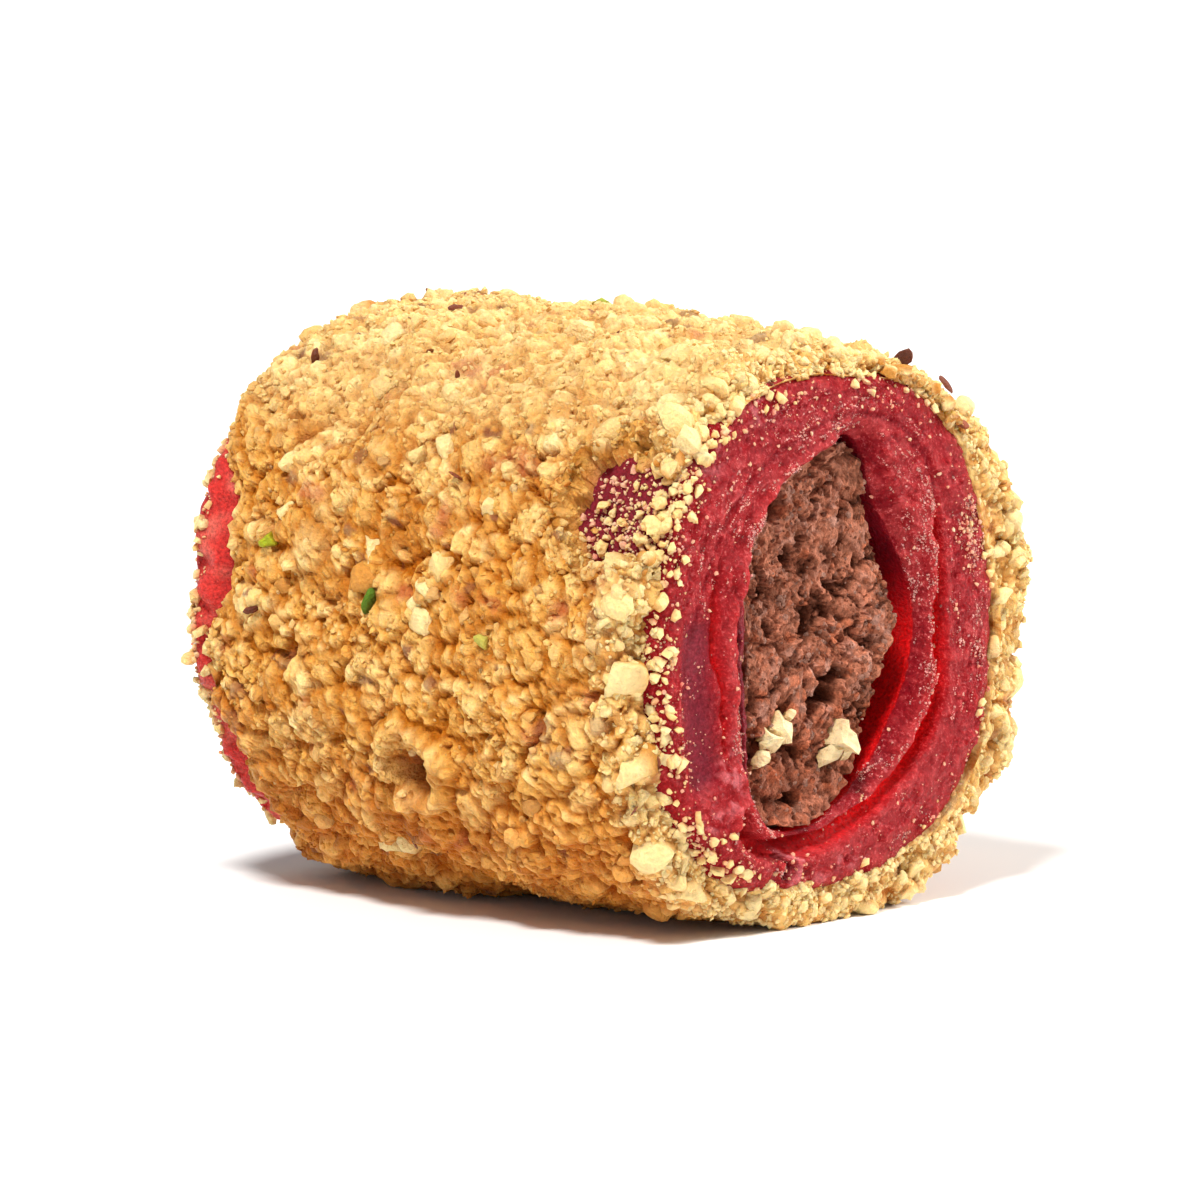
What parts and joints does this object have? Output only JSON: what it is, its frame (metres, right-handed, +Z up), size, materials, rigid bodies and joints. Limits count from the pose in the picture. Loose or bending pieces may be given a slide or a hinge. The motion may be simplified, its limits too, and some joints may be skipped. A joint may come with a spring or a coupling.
{
  "type": "turkish delight roll",
  "caption": "Turkish delight roll: a sheet of red fruit jelly wound round a chocolate fudge core, coated with crushed nuts and cut at both ends.",
  "frame": {"origin": "under the middle of the roll, on the surface it lies on", "axes": "+X along the roll to the cut end that faces the viewer, +Y across it to the side that the top of the fudge core leans to, +Z up"},
  "size_m": [0.0348, 0.0352, 0.033],
  "materials": {
    "nut_coating": "rough crushed nuts in a dry paste",
    "jelly": "moist translucent fruit jelly",
    "fudge": "dry crumbly chocolate fudge"
  },
  "bodies": {
    "root": {"nut_coating": "nut_coating", "jelly_sheet": "jelly", "fudge_core": "fudge"}
  },
  "joints": []
}
